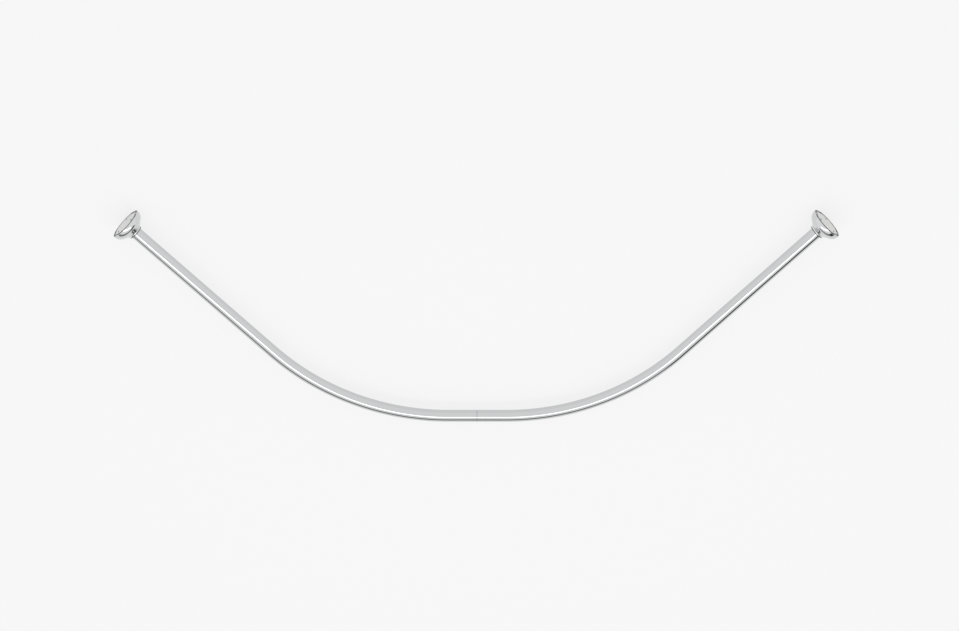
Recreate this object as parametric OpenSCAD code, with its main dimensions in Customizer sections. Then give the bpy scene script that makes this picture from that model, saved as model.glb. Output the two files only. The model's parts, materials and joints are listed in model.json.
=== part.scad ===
// Corner shower curtain rod.
// Two bent tubes meet at a joint in the middle of the bow, and each far end seats in a
// wall bracket that a domed cover hides. X runs along the span, +Y points to the corner
// of the two walls, and Z is up. The origin is the middle of the whole rod's box.

/* [Tube] */
// Length of one leg, from its wall to the point where both arms would meet
leg_len = 1016; // [820:1:1500]
// Outside diameter of the tube
tube_d = 25.4; // [22:0.1:30]
// Wall thickness of the tube
tube_wall = 1.2; // [0.8:0.1:2]
// Radius of each 45 degree bend, at the tube's centre line
bend_r = 515; // [300:5:560]
// Straight length of each tube between its bend and the middle joint
stub_len = 61; // [56:1:120]

/* [Middle joint] */
// Length of the sleeve inside the two tubes
sleeve_len = 100; // [80:1:108]
// Wall thickness of the sleeve
sleeve_wall = 2.6; // [2:0.1:3.5]
// Width of the collar that shows between the two tubes
collar_w = 1; // [0.6:0.1:3]
// Depth of the collar's face below the face of the tubes
collar_sink = 0.3; // [0.1:0.05:0.6]
// Distance of each joint screw from the middle of the sleeve
joint_screw_reach = 30; // [18:1:34]

/* [Wall bracket] */
// Diameter of the bracket's round plate
plate_d = 57; // [54:0.5:62]
// Thickness of the plate
plate_t = 3.6; // [3:0.1:5]
// Depth of the socket that the tube seats in, measured from the plate
socket_depth = 14.5; // [12:0.5:16]
// Wall thickness of the socket
socket_wall = 3.6; // [3:0.1:4]
// Radius of the fillet round the foot of the socket
foot_r = 1.2; // [0.5:0.1:1.5]
// Number of holes for wall screws
hole_count = 3; // [2:1:4]
// Diameter of each hole for a wall screw
hole_d = 4.8; // [4:0.1:5]
// Diameter of the countersink in each hole
countersink_d = 8.4; // [7:0.1:8.6]
// Diameter of the circle that the holes lie on
hole_circle_d = 44; // [43.5:0.1:45]

/* [Cover] */
// Diameter of the cover at the wall
cover_d = 72; // [70:0.5:90]
// Thickness of the cover's sheet
cover_wall = 1.2; // [0.8:0.1:1.6]
// Height of the straight band at the wall
band_h = 3; // [2:0.5:6]
// Radius of the dome's shoulder
shoulder_r = 16; // [14:0.5:17]
// Slope of the dome between its shoulder and its neck, in degrees from the wall
dome_slope = 35; // [33:0.5:40]
// Radius of the hollow between the dome and its neck
hollow_r = 3; // [2:0.1:4]
// Thickness of the rubber seal between the neck and the tube
seal_t = 2.2; // [1.8:0.1:2.6]
// Length of the seal inside the neck
seal_grip = 4; // [3:0.5:4.5]
// Thickness of the seal's lip in front of the neck
lip_t = 1.5; // [1:0.1:2.5]

/* [Screws] */
// Diameter of the four grub screws
screw_d = 5; // [4:0.1:5.5]
// Hexagon size of each grub screw, across its flats
hex_size = 2.5; // [2:0.1:3]
// Depth of the hexagon
hex_depth = 1.6; // [1:0.1:1.8]

/* [Fits] */
// Radial gap of a piece that seats in another
seat_gap = 0.15; // [0.1:0.01:0.3]
// Radial gap between the tube and the seal that slides on it
slide_gap = 0.05; // [0.02:0.01:0.1]

/* [Hidden] */

// How far two solids run past each other where one cuts the other.
bite = 1;
half_turn = 45;
tube_r = tube_d / 2;
bore_r = tube_r - tube_wall;

// The plan: each arm leans 45 degrees, so its end lies on the diagonal of its leg.
span_half = leg_len / sqrt(2);
bow_depth = span_half - (sqrt(2) - 1) * bend_r - stub_len;
rim_reach = cover_d / 2 / sqrt(2);
middle_y = (tube_r - bow_depth - rim_reach) / 2;
wall_y = middle_y + bow_depth;
arm_len = leg_len - sqrt(2) * stub_len - bend_r;

// The sleeve and its collar.
sleeve_r = bore_r - seat_gap;
sleeve_bore_r = sleeve_r - sleeve_wall;
collar_r = tube_r - collar_sink;

// The bracket: heights are measured from the wall.
socket_bore_r = tube_r + seat_gap;
socket_r = socket_bore_r + socket_wall;
socket_top = plate_t + socket_depth;
edge_chamfer = plate_t / 4;
countersink_h = (countersink_d - hole_d) / 2;
bracket_screw_h = plate_t + socket_depth / 2;

// Grub screws lie just under the face that they are driven through.
screw_r = screw_d / 2;
screw_sink = 0.3;
thread_gap = 0.05;
touch_gap = 0.05;
joint_screw_out = tube_r - screw_sink;
joint_screw_in = sleeve_bore_r;
bracket_screw_out = socket_r - screw_sink;
bracket_screw_in = tube_r + touch_gap;

// The cover's section, from its rim at the wall to its neck.
rim_r = cover_d / 2;
seal_bore_r = tube_r + slide_gap;
neck_bore_r = seal_bore_r + seal_t;
neck_r = neck_bore_r + cover_wall;
shoulder_turn = 90 - dome_slope;
shoulder_c = [rim_r - shoulder_r, band_h];
shoulder_end = shoulder_c + shoulder_r * [cos(shoulder_turn), sin(shoulder_turn)];
cone_foot_h = shoulder_end[1] + (shoulder_end[0] - neck_r) * tan(dome_slope);
hollow_c = [
    neck_r + hollow_r,
    cone_foot_h + hollow_r * tan((90 - dome_slope) / 2)
];
neck_end_h = hollow_c[1] + 1;
arc_steps = 14;

$fa = 3;
$fs = 0.6;

tube_finish = "gainsboro";
cover_finish = "silver";
bracket_finish = "lightgray";
sleeve_finish = "darkgray";
screw_finish = "dimgray";
seal_finish = [0.12, 0.12, 0.13];

// Points of an arc round c, from angle a0 to a1.
function arc(c, r, a0, a1) = [
    for (i = [0 : arc_steps])
        let (a = a0 + (a1 - a0) * i / arc_steps)
        c + r * [cos(a), sin(a)]
];

// Puts a piece drawn from the wall along +Z at the wall end of the right arm.
// The piece's own +X then points down.
module on_right_wall() {
    translate([span_half, wall_y, 0])
        rotate([0, 0, 180 + half_turn])
            rotate([0, 90, 0])
                children();
}

// Draws the right piece, or its mirror image on the left.
module side(left) {
    mirror([left ? 1 : 0, 0, 0])
        children();
}

// A hole or a pin that points down, between two distances from the axis above it.
module downward(r, from, to) {
    translate([0, 0, -to])
        cylinder(r = r, h = to - from);
}

// The ring that each tube is drawn with. A straight run turns it by a quarter, so that
// its start line meets the bend's on the outside of the bow.
module tube_section() {
    difference() {
        circle(r = tube_r);
        circle(r = bore_r);
    }
}

module straight_run(length) {
    rotate([0, 90, 0])
        rotate([0, 0, -90])
            linear_extrude(length)
                tube_section();
}

// One bent tube, from the joint through its bend to the seat in its bracket.
module bent_tube() {
    start = collar_w / 2;
    translate([0, middle_y, 0]) {
        translate([start, 0, 0])
            straight_run(stub_len - start);
        translate([stub_len, bend_r, 0])
            rotate([0, 0, -90])
                rotate_extrude(angle = half_turn)
                    translate([bend_r, 0])
                        tube_section();
        translate([stub_len, bend_r, 0])
            rotate([0, 0, half_turn])
                translate([0, -bend_r, 0])
                    straight_run(arm_len - plate_t - seat_gap);
    }
}

module tube(left) {
    color(tube_finish)
        side(left)
            difference() {
                bent_tube();
                translate([joint_screw_reach, middle_y, 0])
                    downward(screw_r + seat_gap, 0, tube_r + bite);
            }
}

module joint_sleeve() {
    color(sleeve_finish)
        difference() {
            translate([0, middle_y, 0])
                rotate([0, 90, 0])
                    union() {
                        cylinder(r = sleeve_r, h = sleeve_len, center = true);
                        cylinder(r = collar_r, h = collar_w, center = true);
                    }
            translate([0, middle_y, 0])
                rotate([0, 90, 0])
                    cylinder(r = sleeve_bore_r, h = sleeve_len + 2 * bite, center = true);
            for (x = [-joint_screw_reach, joint_screw_reach])
                translate([x, middle_y, 0])
                    downward(screw_r + thread_gap, 0, sleeve_r + bite);
        }
}

// A grub screw that points down, with its hexagon in the lower end.
module grub_screw(from, to) {
    hex_r = hex_size / 2 / cos(30);
    difference() {
        downward(screw_r, from, to);
        translate([0, 0, -to - bite])
            cylinder(r = hex_r, h = hex_depth + bite, $fn = 6);
    }
}

module joint_screw(left) {
    color(screw_finish)
        side(left)
            translate([joint_screw_reach, middle_y, 0])
                grub_screw(joint_screw_in, joint_screw_out);
}

// The bracket's half section: plate with a chamfered edge, and a socket on a fillet.
module bracket_section() {
    r = plate_d / 2;
    polygon(concat(
        [
            [0, 0],
            [r, 0],
            [r, plate_t - edge_chamfer],
            [r - edge_chamfer, plate_t]
        ],
        arc([socket_r + foot_r, plate_t + foot_r], foot_r, 270, 180),
        [
            [socket_r, socket_top - edge_chamfer],
            [socket_r - edge_chamfer, socket_top],
            [0, socket_top]
        ]
    ));
}

module bracket(left) {
    color(bracket_finish)
        side(left)
            on_right_wall()
                difference() {
                    rotate_extrude()
                        bracket_section();
                    translate([0, 0, plate_t])
                        cylinder(r = socket_bore_r, h = socket_depth + bite);
                    for (i = [0 : hole_count - 1])
                        rotate([0, 0, i * 360 / hole_count])
                            translate([hole_circle_d / 2, 0, 0])
                                wall_screw_hole();
                    translate([0, 0, bracket_screw_h])
                        rotate([0, 90, 0])
                            cylinder(r = screw_r + thread_gap, h = socket_r + bite);
                }
}

module wall_screw_hole() {
    translate([0, 0, -bite])
        cylinder(d = hole_d, h = plate_t + 2 * bite);
    translate([0, 0, plate_t - countersink_h])
        cylinder(d1 = hole_d, d2 = countersink_d, h = countersink_h);
    translate([0, 0, plate_t])
        cylinder(d = countersink_d, h = bite);
}

module bracket_screw(left) {
    color(screw_finish)
        side(left)
            on_right_wall()
                translate([0, 0, bracket_screw_h])
                    rotate([0, -90, 0])
                        grub_screw(bracket_screw_in, bracket_screw_out);
}

// The cover's half section, a sheet of even thickness.
module cover_section() {
    outer = concat(
        [[rim_r, 0]],
        arc(shoulder_c, shoulder_r, 0, shoulder_turn),
        arc(hollow_c, hollow_r, 270 - dome_slope, 180),
        [[neck_r, neck_end_h]]
    );
    inner = concat(
        [[neck_bore_r, neck_end_h]],
        arc(hollow_c, hollow_r + cover_wall, 180, 270 - dome_slope),
        arc(shoulder_c, shoulder_r - cover_wall, shoulder_turn, 0),
        [[rim_r - cover_wall, 0]]
    );
    polygon(concat(outer, inner));
}

module cover(left) {
    color(cover_finish)
        side(left)
            on_right_wall()
                rotate_extrude()
                    cover_section();
}

// The seal: a short sleeve in the neck, with a lip in front of it.
module cover_seal(left) {
    lip_r = neck_r - 0.3;
    color(seal_finish)
        side(left)
            on_right_wall()
                translate([0, 0, neck_end_h])
                    rotate_extrude()
                        polygon([
                            [seal_bore_r, -seal_grip],
                            [neck_bore_r, -seal_grip],
                            [neck_bore_r, 0],
                            [lip_r, 0],
                            [lip_r, lip_t * 0.6],
                            [lip_r - lip_t * 0.4, lip_t],
                            [seal_bore_r, lip_t]
                        ]);
}

tube(true);  // left_tube
tube(false);  // right_tube
joint_sleeve();
joint_screw(true);  // left_joint_screw
joint_screw(false);  // right_joint_screw
bracket(true);  // left_bracket
bracket(false);  // right_bracket
bracket_screw(true);  // left_bracket_screw
bracket_screw(false);  // right_bracket_screw
cover(true);  // left_cover
cover(false);  // right_cover
cover_seal(true);  // left_cover_seal
cover_seal(false);  // right_cover_seal
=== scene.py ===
"""The looks of a corner shower curtain rod: chrome tubes and covers, brackets, sleeve, screws and seals."""

import json
import logging
import math
from dataclasses import dataclass, field
from enum import Enum

import bmesh
import bpy
from mathutils import Matrix, Vector

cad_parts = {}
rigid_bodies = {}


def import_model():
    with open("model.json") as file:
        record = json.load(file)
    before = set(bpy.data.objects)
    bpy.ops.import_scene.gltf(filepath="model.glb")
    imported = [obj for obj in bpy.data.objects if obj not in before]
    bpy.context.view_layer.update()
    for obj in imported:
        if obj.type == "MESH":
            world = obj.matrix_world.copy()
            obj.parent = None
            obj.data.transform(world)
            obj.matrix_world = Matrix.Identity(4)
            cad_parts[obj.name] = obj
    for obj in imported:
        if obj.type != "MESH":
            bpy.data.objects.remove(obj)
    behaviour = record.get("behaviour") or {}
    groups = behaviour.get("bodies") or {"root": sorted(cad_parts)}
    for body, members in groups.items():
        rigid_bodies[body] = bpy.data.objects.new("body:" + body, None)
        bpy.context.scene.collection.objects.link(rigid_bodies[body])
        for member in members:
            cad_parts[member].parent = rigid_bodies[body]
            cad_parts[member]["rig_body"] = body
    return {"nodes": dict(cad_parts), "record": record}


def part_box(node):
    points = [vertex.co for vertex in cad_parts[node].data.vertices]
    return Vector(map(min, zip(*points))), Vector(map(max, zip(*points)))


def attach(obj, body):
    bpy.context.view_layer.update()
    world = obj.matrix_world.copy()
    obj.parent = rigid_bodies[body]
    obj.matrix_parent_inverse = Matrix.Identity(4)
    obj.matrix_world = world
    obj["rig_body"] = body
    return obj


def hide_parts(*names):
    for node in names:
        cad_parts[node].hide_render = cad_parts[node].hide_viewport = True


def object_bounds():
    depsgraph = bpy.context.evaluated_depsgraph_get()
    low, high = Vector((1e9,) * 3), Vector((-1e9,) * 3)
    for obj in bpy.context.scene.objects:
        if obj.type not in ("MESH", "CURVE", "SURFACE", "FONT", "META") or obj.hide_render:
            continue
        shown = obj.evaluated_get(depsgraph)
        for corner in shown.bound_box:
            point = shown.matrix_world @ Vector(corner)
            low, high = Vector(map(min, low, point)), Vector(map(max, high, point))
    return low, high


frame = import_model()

log = logging.getLogger("corner_rod")

MM = 0.001
CAD_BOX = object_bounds()


class Side(Enum):
    """The two halves of the rod, with the sign of X that each lies on."""

    LEFT = -1
    RIGHT = 1

    @property
    def word(self) -> str:
        """The word that starts the names of this half's nodes."""
        return self.name.lower()


class NodeTree:
    """A small helper that adds and links shader nodes in one tree."""

    def __init__(self, tree: bpy.types.NodeTree) -> None:
        """Empties the tree and keeps it."""
        tree.nodes.clear()
        self.tree = tree

    def add(self, kind: str, **values: object) -> bpy.types.Node:
        """Adds one node.

        Args:
            kind: Blender's name of the node type.
            **values: properties of the node, or values of its input sockets with
                spaces in their names written as underscores.

        Returns:
            The new node.
        """
        node = self.tree.nodes.new(kind)
        for name, value in values.items():
            socket = node.inputs.get(name.replace("_", " "))
            if hasattr(node, name):
                setattr(node, name, value)
            elif socket is not None:
                socket.default_value = value
            else:
                raise KeyError(f"{kind} has no {name}")
        return node

    def link(self, source: bpy.types.NodeSocket, target: bpy.types.NodeSocket) -> None:
        """Links an output socket to an input socket."""
        self.tree.links.new(source, target)


class Pattern(Enum):
    """Where a finish takes its pattern's coordinates from."""

    SURFACE = "UV"
    SOLID = "Object"


@dataclass(frozen=True)
class MetalFinish:
    """A polished, plated or bare metal with fine marks in one direction.

    The marks are a noise stretched by grain: small numbers give long marks.
    """

    name: str
    color: tuple[float, float, float]
    roughness: float
    grain: tuple[float, float, float]
    mark_depth: float
    mark_roughness: float
    pattern: Pattern = Pattern.SOLID
    cloud_scale: float = 9.0

    def material(self) -> bpy.types.Material:
        """Builds the material's nodes and returns it."""
        material = bpy.data.materials.new(self.name)
        material.use_nodes = True
        nodes = NodeTree(material.node_tree)
        output = nodes.add("ShaderNodeOutputMaterial")
        metal = nodes.add(
            "ShaderNodeBsdfPrincipled",
            Metallic=1.0,
            Roughness=self.roughness,
            Base_Color=(*self.color, 1.0),
        )
        place = nodes.add("ShaderNodeTexCoord")
        stretch = nodes.add("ShaderNodeMapping", Scale=self.grain)
        marks = nodes.add("ShaderNodeTexNoise", Scale=1.0, Detail=5.0, Roughness=0.6)
        cloud = nodes.add("ShaderNodeTexNoise", Scale=self.cloud_scale, Detail=3.0)
        mixed = nodes.add("ShaderNodeMath", operation="MULTIPLY")
        spread = nodes.add("ShaderNodeMapRange")
        spread.inputs["To Min"].default_value = self.roughness
        spread.inputs["To Max"].default_value = self.roughness + self.mark_roughness
        bump = nodes.add("ShaderNodeBump", Strength=0.5, Distance=self.mark_depth)
        nodes.link(place.outputs[self.pattern.value], stretch.inputs["Vector"])
        nodes.link(stretch.outputs["Vector"], marks.inputs["Vector"])
        nodes.link(place.outputs["Object"], cloud.inputs["Vector"])
        nodes.link(marks.outputs["Fac"], mixed.inputs[0])
        nodes.link(cloud.outputs["Fac"], mixed.inputs[1])
        nodes.link(mixed.outputs["Value"], spread.inputs["Value"])
        nodes.link(spread.outputs["Result"], metal.inputs["Roughness"])
        nodes.link(marks.outputs["Fac"], bump.inputs["Height"])
        nodes.link(bump.outputs["Normal"], metal.inputs["Normal"])
        nodes.link(metal.outputs["BSDF"], output.inputs["Surface"])
        return material


@dataclass(frozen=True)
class RubberFinish:
    """A matt moulded rubber with a fine, even grain."""

    name: str
    dark: tuple[float, float, float]
    light: tuple[float, float, float]
    roughness: float
    grain_scale: float
    grain_depth: float

    def material(self) -> bpy.types.Material:
        """Builds the material's nodes and returns it."""
        material = bpy.data.materials.new(self.name)
        material.use_nodes = True
        nodes = NodeTree(material.node_tree)
        output = nodes.add("ShaderNodeOutputMaterial")
        rubber = nodes.add("ShaderNodeBsdfPrincipled", Roughness=self.roughness)
        place = nodes.add("ShaderNodeTexCoord")
        grain = nodes.add("ShaderNodeTexNoise", Scale=self.grain_scale, Detail=4.0)
        tones = nodes.add("ShaderNodeValToRGB")
        tones.color_ramp.elements[0].color = (*self.dark, 1.0)
        tones.color_ramp.elements[1].color = (*self.light, 1.0)
        bump = nodes.add("ShaderNodeBump", Strength=0.6, Distance=self.grain_depth)
        nodes.link(place.outputs["Object"], grain.inputs["Vector"])
        nodes.link(grain.outputs["Fac"], tones.inputs["Fac"])
        nodes.link(tones.outputs["Color"], rubber.inputs["Base Color"])
        nodes.link(grain.outputs["Fac"], bump.inputs["Height"])
        nodes.link(bump.outputs["Normal"], rubber.inputs["Normal"])
        nodes.link(rubber.outputs["BSDF"], output.inputs["Surface"])
        return material


TUBE_CHROME = MetalFinish(
    name="tube_chrome",
    color=(0.60, 0.605, 0.61),
    roughness=0.035,
    grain=(6.0, 420.0, 1.0),
    mark_depth=0.000004,
    mark_roughness=0.06,
    pattern=Pattern.SURFACE,
)
COVER_CHROME_WITH_PAINTED_SHEEN = MetalFinish(
    name="cover_chrome",
    # Painted sheen: this chrome's base colour is set brighter than the tube's chrome, to stand in for the
    # brighter reflections the domes pick up from the overhead light.
    color=(0.66, 0.665, 0.67),
    roughness=0.06,
    grain=(3.0, 160.0, 1.0),
    mark_depth=0.000004,
    mark_roughness=0.08,
    pattern=Pattern.SURFACE,
)
PLATED_STEEL = MetalFinish(
    name="plated_steel",
    color=(0.70, 0.70, 0.69),
    roughness=0.22,
    grain=(900.0, 900.0, 90.0),
    mark_depth=0.00003,
    mark_roughness=0.18,
)
BARE_ALUMINIUM = MetalFinish(
    name="bare_aluminium",
    color=(0.50, 0.51, 0.52),
    roughness=0.28,
    grain=(60.0, 1400.0, 1400.0),
    mark_depth=0.00003,
    mark_roughness=0.15,
)
DARK_STEEL = MetalFinish(
    name="dark_steel",
    color=(0.20, 0.20, 0.21),
    roughness=0.35,
    grain=(1500.0, 1500.0, 1500.0),
    mark_depth=0.00003,
    mark_roughness=0.2,
)
BLACK_RUBBER = RubberFinish(
    name="black_rubber",
    dark=(0.018, 0.018, 0.020),
    light=(0.045, 0.045, 0.048),
    roughness=0.62,
    grain_scale=1400.0,
    grain_depth=0.00005,
)


@dataclass(frozen=True)
class WallEnd:
    """Where one arm meets its wall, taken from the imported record."""

    side: Side
    centre: Vector
    outward: Vector

    @classmethod
    def of(cls, side: Side) -> "WallEnd":
        """Reads the wall face of one side.

        Args:
            side: the half of the rod.

        Returns:
            The wall end, with its centre and the face's outward direction.
        """
        name = f"{side.word}_wall_face"
        mount = next(m for m in frame["record"]["mounts"] if m["name"] == name)
        return cls(side, Vector(mount["pos_m"]), Vector(mount["axis"]).normalized())

    @property
    def along(self) -> Vector:
        """The direction of the arm, from the wall into the room."""
        return -self.outward

    def placement(self) -> Matrix:
        """A matrix that puts the wall end's own axes in the rod's frame.

        Returns:
            A matrix whose Z runs along the arm and whose X points down.
        """
        z = self.along
        x = Vector((0.0, 0.0, -1.0))
        y = z.cross(x)
        turn = Matrix((x, y, z)).transposed().to_4x4()
        return Matrix.Translation(self.centre) @ turn


def arc(centre: tuple[float, float], radius: float, start: float, end: float, steps: int) -> list[Vector]:
    """Points of an arc in the plane of a section.

    Args:
        centre: the arc's centre, as distance from the axis and height.
        radius: the arc's radius.
        start: the first angle in degrees.
        end: the last angle in degrees.
        steps: the number of equal steps.

    Returns:
        The points, as vectors of distance and height.
    """
    points = []
    for i in range(steps + 1):
        a = math.radians(start + (end - start) * i / steps)
        points.append(Vector((centre[0] + radius * math.cos(a), centre[1] + radius * math.sin(a))))
    return points


def lengths_along(points: list[Vector]) -> list[float]:
    """The distance of each point from the first, measured along the line."""
    total = 0.0
    out = [0.0]
    for a, b in zip(points, points[1:]):
        total += (b - a).length
        out.append(total)
    return out


class Piece:
    """Turns a finished bmesh into an object that rides on its body and replaces its node."""

    @staticmethod
    def finish(
        bm: bmesh.types.BMesh, node: str, finish: bpy.types.Material, sharp_deg: float = 32.0
    ) -> bpy.types.Object:
        """Makes the object of one piece.

        Args:
            bm: the mesh, in the rod's frame. It is freed here.
            node: the CAD node that the piece stands for.
            finish: the material of the whole piece.
            sharp_deg: edges that turn by more than this stay sharp.

        Returns:
            The new object.
        """
        name = node + "_skin"
        mesh = bpy.data.meshes.new(name)
        bm.to_mesh(mesh)
        bm.free()
        mesh.shade_smooth()
        mesh.set_sharp_from_angle(angle=math.radians(sharp_deg))
        mesh.materials.append(finish)
        piece = bpy.data.objects.new(name, mesh)
        bpy.context.scene.collection.objects.link(piece)
        cad = frame["nodes"][node]
        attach(piece, cad["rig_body"])
        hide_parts(node)
        return piece

    @staticmethod
    def refined(node: str, finish: bpy.types.Material) -> bpy.types.Object:
        """Makes a smooth copy of a node whose shape is right.

        Args:
            node: the CAD node to copy.
            finish: the material of the copy.

        Returns:
            The new object.
        """
        bm = bmesh.new()
        bm.from_mesh(frame["nodes"][node].data)
        bmesh.ops.remove_doubles(bm, verts=bm.verts, dist=0.002 * MM)
        return Piece.finish(bm, node, finish)


@dataclass
class TubePair:
    """The two bent chrome tubes."""

    bend_r: float = 515 * MM
    stub_len: float = 61 * MM
    wall: float = 1.2 * MM
    seam_half: float = 0.5 * MM
    seat_h: float = 3.75 * MM
    edge_bevel: float = 0.25 * MM
    screw_reach: float = 30 * MM
    screw_hole_r: float = 2.65 * MM
    sides: int = 96
    bend_steps: int = 90
    bend: float = math.radians(45)
    finish: MetalFinish = field(default_factory=lambda: TUBE_CHROME)

    def build(self) -> None:
        """Builds both tubes."""
        material = self.finish.material()
        for side in Side:
            self.build_half(side, material)

    def build_half(self, side: Side, material: bpy.types.Material) -> bpy.types.Object:
        """Builds one tube from its seam, round its bend, to its seat in the bracket.

        Args:
            side: the half of the rod.
            material: the tube's chrome.

        Returns:
            The new piece.
        """
        node = f"{side.word}_tube"
        low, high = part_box(node)
        radius = (high.z - low.z) / 2
        middle_y = low.y + radius
        wall_end = WallEnd.of(side)
        sign = side.value
        bm = bmesh.new()
        seam = Vector((sign * self.seam_half, middle_y, 0.0))
        turn = Matrix.Rotation(math.radians(90), 4, "Y")
        ring = bmesh.ops.create_circle(
            bm, segments=self.sides, radius=radius, matrix=Matrix.Translation(seam) @ turn
        )
        edges = list({e for v in ring["verts"] for e in v.link_edges})
        stub = Vector((sign * (self.stub_len - self.seam_half), 0.0, 0.0))
        edges = self.extend(bm, edges, stub, [0.02, self.screw_reach / self.stub_len, 1.0])
        bend_centre = Vector((sign * self.stub_len, middle_y + self.bend_r, 0.0))
        spun = bmesh.ops.spin(
            bm,
            geom=edges,
            cent=bend_centre,
            axis=Vector((0.0, 0.0, 1.0)),
            angle=sign * self.bend,
            steps=self.bend_steps,
            use_merge=False,
            use_duplicate=False,
        )
        edges = [g for g in spun["geom_last"] if isinstance(g, bmesh.types.BMEdge)]
        start = bend_centre + Matrix.Rotation(sign * self.bend, 3, "Z") @ Vector((0.0, -self.bend_r, 0.0))
        seat = wall_end.centre + wall_end.along * self.seat_h
        self.extend(bm, edges, seat - start, [0.25, 0.5, 0.75, 0.985, 1.0])
        bmesh.ops.recalc_face_normals(bm, faces=bm.faces)
        self.unwrap(bm, side, middle_y, bend_centre)
        bmesh.ops.solidify(bm, geom=bm.faces[:], thickness=self.wall)
        bmesh.ops.recalc_face_normals(bm, faces=bm.faces)
        piece = Piece.finish(bm, node, material)
        self.drill(piece, Vector((sign * self.screw_reach, middle_y, -radius)))
        return piece

    @staticmethod
    def extend(
        bm: bmesh.types.BMesh, edges: list[bmesh.types.BMEdge], way: Vector, stops: list[float]
    ) -> list[bmesh.types.BMEdge]:
        """Extrudes a ring of edges in a straight line, with a loop at each stop.

        Args:
            bm: the mesh.
            edges: the ring to start from.
            way: the whole straight stretch.
            stops: shares of the stretch at which a loop is left, the last being 1.

        Returns:
            The ring of edges at the end.
        """
        done = 0.0
        for stop in stops:
            made = bmesh.ops.extrude_edge_only(bm, edges=edges)
            verts = [g for g in made["geom"] if isinstance(g, bmesh.types.BMVert)]
            edges = [g for g in made["geom"] if isinstance(g, bmesh.types.BMEdge)]
            bmesh.ops.translate(bm, verts=verts, vec=way * (stop - done))
            edges = [e for e in edges if all(v in set(verts) for v in e.verts)]
            done = stop
        return edges

    def unwrap(self, bm: bmesh.types.BMesh, side: Side, middle_y: float, bend_centre: Vector) -> None:
        """Gives the tube a UV map in metres: along its centre line, and round it.

        Args:
            bm: the mesh of the tube's outer face.
            side: the half of the rod.
            middle_y: Y of the centre line at the seam.
            bend_centre: the centre of the tube's bend.
        """
        layer = bm.loops.layers.uv.new("along_tube")
        for face in bm.faces:
            centre_v = self.unrolled(face.calc_center_median(), side, middle_y, bend_centre)[1]
            for loop in face.loops:
                u, v = self.unrolled(loop.vert.co, side, middle_y, bend_centre)
                if abs(v - centre_v) > 0.5:
                    v += math.copysign(1.0, centre_v - v)
                loop[layer].uv = (u, v)

    def unrolled(self, point: Vector, side: Side, middle_y: float, bend_centre: Vector) -> tuple[float, float]:
        """Where a point of the tube lies along the centre line and round it.

        Args:
            point: a point on the tube's face.
            side: the half of the rod; not used.
            middle_y: Y of the centre line at the seam.
            bend_centre: the centre of the tube's bend.

        Returns:
            The distance along the centre line in metres, and the share of a turn round it.
        """
        x = abs(point.x)
        if x <= self.stub_len:
            return x, math.atan2(point.z, middle_y - point.y) / math.tau + 0.5
        flat = Vector((x - self.stub_len, point.y - bend_centre.y))
        turned = math.atan2(flat.x, -flat.y)
        if turned <= self.bend:
            off = flat.length - self.bend_r
            return self.stub_len + turned * self.bend_r, math.atan2(point.z, off) / math.tau + 0.5
        along = Vector((math.cos(self.bend), math.sin(self.bend)))
        away = Vector((math.sin(self.bend), -math.cos(self.bend)))
        reach = self.stub_len + self.bend * self.bend_r + flat.dot(along)
        off = flat.dot(away) - self.bend_r
        return reach, math.atan2(point.z, off) / math.tau + 0.5

    def drill(self, piece: bpy.types.Object, mouth: Vector) -> None:
        """Cuts the hole for the joint screw through the tube's lower wall.

        Args:
            piece: the tube.
            mouth: the middle of the hole on the tube's underside.
        """
        bm = bmesh.new()
        depth = 4 * self.wall
        bmesh.ops.create_cone(
            bm,
            cap_ends=True,
            segments=40,
            radius1=self.screw_hole_r,
            radius2=self.screw_hole_r,
            depth=depth,
            matrix=Matrix.Translation(mouth),
        )
        mesh = bpy.data.meshes.new("drill")
        bm.to_mesh(mesh)
        bm.free()
        drill = bpy.data.objects.new("drill", mesh)
        bpy.context.scene.collection.objects.link(drill)
        cut = piece.modifiers.new("screw_hole", "BOOLEAN")
        cut.operation = "DIFFERENCE"
        cut.solver = "EXACT"
        cut.object = drill
        graph = bpy.context.evaluated_depsgraph_get()
        done = bpy.data.meshes.new_from_object(piece.evaluated_get(graph))
        old = piece.data
        piece.modifiers.clear()
        piece.data = done
        bpy.data.meshes.remove(old)
        bpy.data.objects.remove(drill)
        bpy.data.meshes.remove(mesh)


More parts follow.
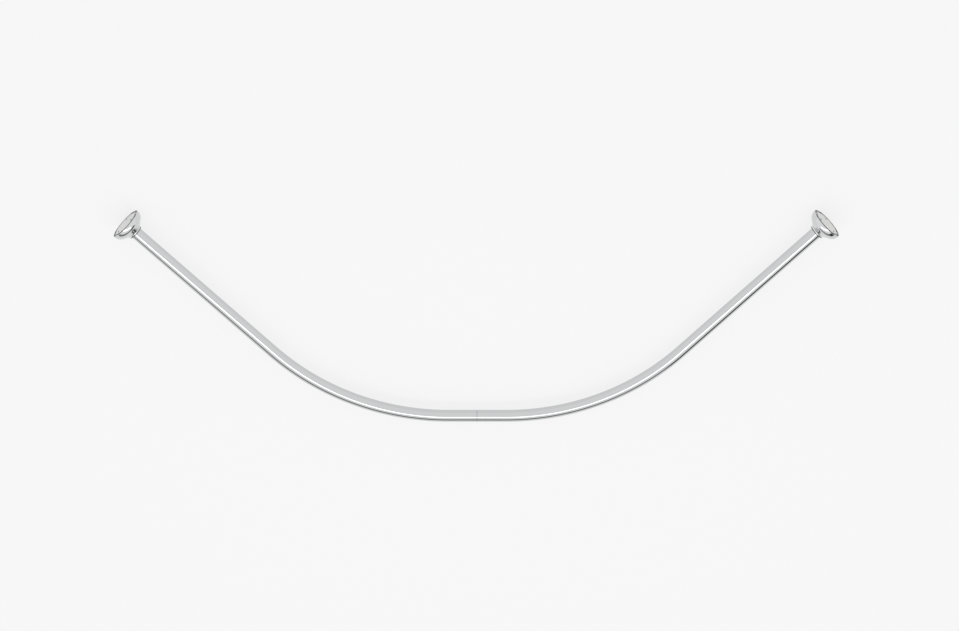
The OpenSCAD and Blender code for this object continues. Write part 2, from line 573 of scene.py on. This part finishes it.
@dataclass
class CoverPair:
    """The two domed covers and the rubber seals in their necks."""

    rim_r: float = 36 * MM
    sheet: float = 1.2 * MM
    band_h: float = 3 * MM
    shoulder_r: float = 16 * MM
    slope: float = 35.0
    hollow_r: float = 3 * MM
    neck_bore_r: float = 14.95 * MM
    neck_h: float = 1 * MM
    sides: int = 160
    arc_steps: int = 20
    # The covers' chrome carries a painted sheen in its base colour.
    finish: MetalFinish = field(default_factory=lambda: COVER_CHROME_WITH_PAINTED_SHEEN)
    seal_finish: RubberFinish = field(default_factory=lambda: BLACK_RUBBER)

    def build(self) -> None:
        """Builds both covers and their seals."""
        chrome = self.finish.material()
        rubber = self.seal_finish.material()
        for side in Side:
            self.build_cover(WallEnd.of(side), chrome)
            Piece.refined(f"{side.word}_cover_seal", rubber)

    def section(self) -> list[Vector]:
        """The closed half section of the sheet, from its rim at the wall to its neck.

        Returns:
            Points as distance from the axis and height above the wall.
        """
        neck_r = self.neck_bore_r + self.sheet
        turn = 90 - self.slope
        centre = (self.rim_r - self.shoulder_r, self.band_h)
        shoulder = arc(centre, self.shoulder_r, 0, turn, self.arc_steps)
        end = shoulder[-1]
        foot_h = end.y + (end.x - neck_r) * math.tan(math.radians(self.slope))
        rise = self.hollow_r * math.tan(math.radians((90 - self.slope) / 2))
        hollow_centre = (neck_r + self.hollow_r, foot_h + rise)
        lip = self.sheet / 2
        top = hollow_centre[1] + self.neck_h
        outer = shoulder + arc(hollow_centre, self.hollow_r, 270 - self.slope, 180, self.arc_steps // 2)
        crown = arc((neck_r - lip, top - lip), lip, 0, 180, 8)
        inner = arc(hollow_centre, self.hollow_r + self.sheet, 180, 270 - self.slope, self.arc_steps // 2)
        inner += arc(centre, self.shoulder_r - self.sheet, turn, 0, self.arc_steps)
        rim = arc((self.rim_r - lip, lip), lip, 180, 360, 8)
        return outer + crown + inner + rim

    def build_cover(self, wall_end: WallEnd, material: bpy.types.Material) -> bpy.types.Object:
        """Spins the section of one cover round its arm.

        Args:
            wall_end: where the cover's arm meets the wall.
            material: the cover's chrome.

        Returns:
            The new piece.
        """
        place = wall_end.placement()
        points = self.section()
        bm = bmesh.new()
        verts = [bm.verts.new((p.x, 0.0, p.y)) for p in points]
        edges = [bm.edges.new((a, b)) for a, b in zip(verts, verts[1:] + verts[:1])]
        bmesh.ops.spin(
            bm,
            geom=verts + edges,
            cent=Vector((0.0, 0.0, 0.0)),
            axis=Vector((0.0, 0.0, 1.0)),
            angle=math.tau,
            steps=self.sides,
            use_merge=True,
            use_duplicate=False,
        )
        bmesh.ops.remove_doubles(bm, verts=bm.verts, dist=0.001 * MM)
        bmesh.ops.recalc_face_normals(bm, faces=bm.faces)
        self.unwrap(bm)
        bmesh.ops.transform(bm, matrix=place, verts=bm.verts)
        return Piece.finish(bm, f"{wall_end.side.word}_cover", material)

    @staticmethod
    def unwrap(bm: bmesh.types.BMesh) -> None:
        """Gives a cover a UV map: turns round its axis, and metres across its section.

        Args:
            bm: the cover, still round its own Z axis.
        """
        layer = bm.loops.layers.uv.new("round_cover")
        for face in bm.faces:
            middle = face.calc_center_median()
            centre_u = math.atan2(middle.y, middle.x) / math.tau
            for loop in face.loops:
                co = loop.vert.co
                u = math.atan2(co.y, co.x) / math.tau
                if abs(u - centre_u) > 0.5:
                    u += math.copysign(1.0, centre_u - u)
                loop[layer].uv = (u, co.z - math.hypot(co.x, co.y))


@dataclass
class HiddenParts:
    """The brackets, the sleeve of the middle joint and the four grub screws."""

    bracket_finish: MetalFinish = field(default_factory=lambda: PLATED_STEEL)
    sleeve_finish: MetalFinish = field(default_factory=lambda: BARE_ALUMINIUM)
    screw_finish: MetalFinish = field(default_factory=lambda: DARK_STEEL)

    def build(self) -> None:
        """Refines each node and gives it its metal."""
        steel = self.bracket_finish.material()
        aluminium = self.sleeve_finish.material()
        dark = self.screw_finish.material()
        Piece.refined("joint_sleeve", aluminium)
        for side in Side:
            Piece.refined(f"{side.word}_bracket", steel)
            Piece.refined(f"{side.word}_joint_screw", dark)
            Piece.refined(f"{side.word}_bracket_screw", dark)


@dataclass(frozen=True)
class PhotoCamera:
    """The camera, at the photograph's viewing angle.

    Lengths are in legs: a leg runs from a wall to the point where both arms would meet.
    """

    leg: float = 1016 * MM
    distance_legs: float = 6.667
    aim_legs: float = 0.25
    elevation: float = 64.4
    turn: float = 2.26
    roll: float = -2.03
    px_per_leg: float = 490.2
    aim_px: tuple[float, float] = (476.2, 307.0)
    image_px: tuple[int, int] = (959, 631)
    sensor: float = 36.0

    def build(self) -> None:
        """Makes the camera and the scene's view of it."""
        low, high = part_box("left_tube")
        middle_y = low.y + (high.z - low.z) / 2
        aim = Vector((0.0, middle_y + self.aim_legs * self.leg, 0.0))
        e = math.radians(self.elevation)
        unturn = Matrix.Rotation(math.radians(-self.turn), 3, "Z")
        across = unturn @ Vector((1.0, 0.0, 0.0))
        rise = unturn @ Vector((0.0, math.sin(e), -math.cos(e)))
        toward = unturn @ Vector((0.0, math.cos(e), math.sin(e)))
        c, s = math.cos(math.radians(self.roll)), math.sin(math.radians(self.roll))
        right = c * across - s * rise
        up = s * across + c * rise
        data = bpy.data.cameras.new("photo_camera")
        width, height = self.image_px
        data.sensor_width = self.sensor
        data.lens = self.px_per_leg * self.distance_legs / width * self.sensor
        data.shift_x = (width / 2 - self.aim_px[0]) / width
        data.shift_y = (self.aim_px[1] - height / 2) / width
        data.clip_start = 0.1
        data.clip_end = 60.0
        camera = bpy.data.objects.new("photo_camera", data)
        axes = Matrix((right, up, toward)).transposed().to_4x4()
        camera.matrix_world = Matrix.Translation(aim + toward * self.distance_legs * self.leg) @ axes
        bpy.context.scene.collection.objects.link(camera)
        bpy.context.scene.camera = camera
        log.info("camera: %.1f mm lens, %.2f m away", data.lens, self.distance_legs * self.leg)


@dataclass(frozen=True)
class Card:
    """A flat card that only the metal sees, as a grey card in a photographer's studio."""

    name: str
    centre: tuple[float, float, float]
    size: tuple[float, float]
    facing: tuple[float, float, float]
    shade: float

    def build(self) -> None:
        """Makes the card and turns it to face its point."""
        bm = bmesh.new()
        bmesh.ops.create_grid(bm, x_segments=1, y_segments=1, size=0.5)
        bmesh.ops.scale(bm, vec=Vector((self.size[0], self.size[1], 1.0)), verts=bm.verts)
        centre = Vector(self.centre)
        turn = (Vector(self.facing) - centre).to_track_quat("Z", "Y").to_matrix().to_4x4()
        bmesh.ops.transform(bm, matrix=Matrix.Translation(centre) @ turn, verts=bm.verts)
        mesh = bpy.data.meshes.new(self.name)
        bm.to_mesh(mesh)
        bm.free()
        mesh.materials.append(self.material())
        card = bpy.data.objects.new(self.name, mesh)
        bpy.context.scene.collection.objects.link(card)
        card.visible_camera = False
        card.visible_diffuse = False
        card.visible_shadow = False

    def material(self) -> bpy.types.Material:
        """An even shade that needs no lamp."""
        material = bpy.data.materials.new(self.name)
        material.use_nodes = True
        nodes = NodeTree(material.node_tree)
        output = nodes.add("ShaderNodeOutputMaterial")
        glow = nodes.add("ShaderNodeEmission", Color=(self.shade,) * 3 + (1.0,), Strength=1.0)
        nodes.link(glow.outputs["Emission"], output.inputs["Surface"])
        return material


@dataclass(frozen=True)
class Softbox:
    """A large area lamp."""

    name: str
    centre: tuple[float, float, float]
    size: tuple[float, float]
    facing: tuple[float, float, float]
    level: float

    def build(self) -> None:
        """Makes the lamp, so bright that its face reads as its level, where 1 is white."""
        data = bpy.data.lights.new(self.name, "AREA")
        data.shape = "RECTANGLE"
        data.size, data.size_y = self.size
        data.energy = self.level * math.pi * self.size[0] * self.size[1]
        lamp = bpy.data.objects.new(self.name, data)
        centre = Vector(self.centre)
        turn = (Vector(self.facing) - centre).to_track_quat("-Z", "Y").to_matrix().to_4x4()
        lamp.matrix_world = Matrix.Translation(centre) @ turn
        lamp.visible_camera = False
        bpy.context.scene.collection.objects.link(lamp)


@dataclass
class Studio:
    """The floor, the world, the lamps and the cards."""

    floor_size: float = 14.0
    floor_color: float = 0.8
    floor_glow: float = 0.75
    world_fill: float = 0.8
    softboxes: list[Softbox] = field(default_factory=list)
    cards: list[Card] = field(default_factory=list)

    def build(self) -> None:
        """Builds everything that isn't part of the rod."""
        self.build_floor()
        self.build_world()
        for thing in self.softboxes + self.cards:
            thing.build()
        bpy.context.scene.view_settings.view_transform = "Standard"

    @staticmethod
    def seen(nodes: NodeTree) -> bpy.types.NodeSocket:
        """Tells the rays that see the background from those that only carry light.

        Args:
            nodes: the tree to add to.

        Returns:
            A socket that is 1 for camera, glossy and transmission rays.
        """
        path = nodes.add("ShaderNodeLightPath")
        either = nodes.add("ShaderNodeMath", operation="MAXIMUM")
        any_of = nodes.add("ShaderNodeMath", operation="MAXIMUM")
        nodes.link(path.outputs["Is Camera Ray"], either.inputs[0])
        nodes.link(path.outputs["Is Glossy Ray"], either.inputs[1])
        nodes.link(either.outputs["Value"], any_of.inputs[0])
        nodes.link(path.outputs["Is Transmission Ray"], any_of.inputs[1])
        return any_of.outputs["Value"]

    def build_floor(self) -> None:
        """Makes a plain pale floor just under the rod."""
        bm = bmesh.new()
        bmesh.ops.create_grid(bm, x_segments=1, y_segments=1, size=self.floor_size / 2)
        bmesh.ops.translate(bm, verts=bm.verts, vec=Vector((0.0, 0.0, CAD_BOX[0].z)))
        mesh = bpy.data.meshes.new("floor")
        bm.to_mesh(mesh)
        bm.free()
        material = bpy.data.materials.new("floor_white")
        material.use_nodes = True
        nodes = NodeTree(material.node_tree)
        output = nodes.add("ShaderNodeOutputMaterial")
        matt = nodes.add("ShaderNodeBsdfDiffuse", Color=(self.floor_color,) * 3 + (1.0,))
        glow = nodes.add("ShaderNodeEmission", Color=(1.0, 1.0, 1.0, 1.0), Strength=1.0)
        share = nodes.add("ShaderNodeMath", operation="MULTIPLY")
        share.inputs[1].default_value = self.floor_glow
        mix = nodes.add("ShaderNodeMixShader")
        nodes.link(self.seen(nodes), share.inputs[0])
        nodes.link(share.outputs["Value"], mix.inputs["Fac"])
        nodes.link(matt.outputs["BSDF"], mix.inputs[1])
        nodes.link(glow.outputs["Emission"], mix.inputs[2])
        nodes.link(mix.outputs["Shader"], output.inputs["Surface"])
        mesh.materials.append(material)
        floor = bpy.data.objects.new("floor", mesh)
        bpy.context.scene.collection.objects.link(floor)

    def build_world(self) -> None:
        """Makes a white world that lights the rod at a plain level."""
        world = bpy.data.worlds.new("studio_world")
        bpy.context.scene.world = world
        world.use_nodes = True
        nodes = NodeTree(world.node_tree)
        output = nodes.add("ShaderNodeOutputWorld")
        fill = nodes.add("ShaderNodeBackground", Color=(1.0, 1.0, 1.0, 1.0), Strength=self.world_fill)
        white = nodes.add("ShaderNodeBackground", Color=(1.0, 1.0, 1.0, 1.0), Strength=1.0)
        mix = nodes.add("ShaderNodeMixShader")
        nodes.link(self.seen(nodes), mix.inputs["Fac"])
        nodes.link(fill.outputs["Background"], mix.inputs[1])
        nodes.link(white.outputs["Background"], mix.inputs[2])
        nodes.link(mix.outputs["Shader"], output.inputs["Surface"])


def photo_studio() -> Studio:
    """The lamps and cards whose reflections the photograph shows in the chrome.

    Returns:
        The studio, ready to build.
    """
    return Studio(
        softboxes=[
            Softbox("top_softbox", (0.0, -0.45, 2.2), (3.4, 0.5), (0.0, 0.0, 0.0), 1.7),
        ],
        cards=[
            Card("front_card", (0.0, -2.0, 1.0), (5.0, 1.1), (0.0, 0.0, 0.0), 0.25),
            Card("right_card", (1.9, -1.3, 0.9), (2.0, 1.2), (0.4, 0.0, 0.0), 0.06),
        ],
    )


def main() -> None:
    """Builds the camera, the rod's pieces and the studio."""
    logging.basicConfig(level=logging.INFO, format="%(message)s")
    PhotoCamera().build()
    TubePair().build()
    CoverPair().build()
    HiddenParts().build()
    photo_studio().build()


if __name__ == "__main__":
    main()
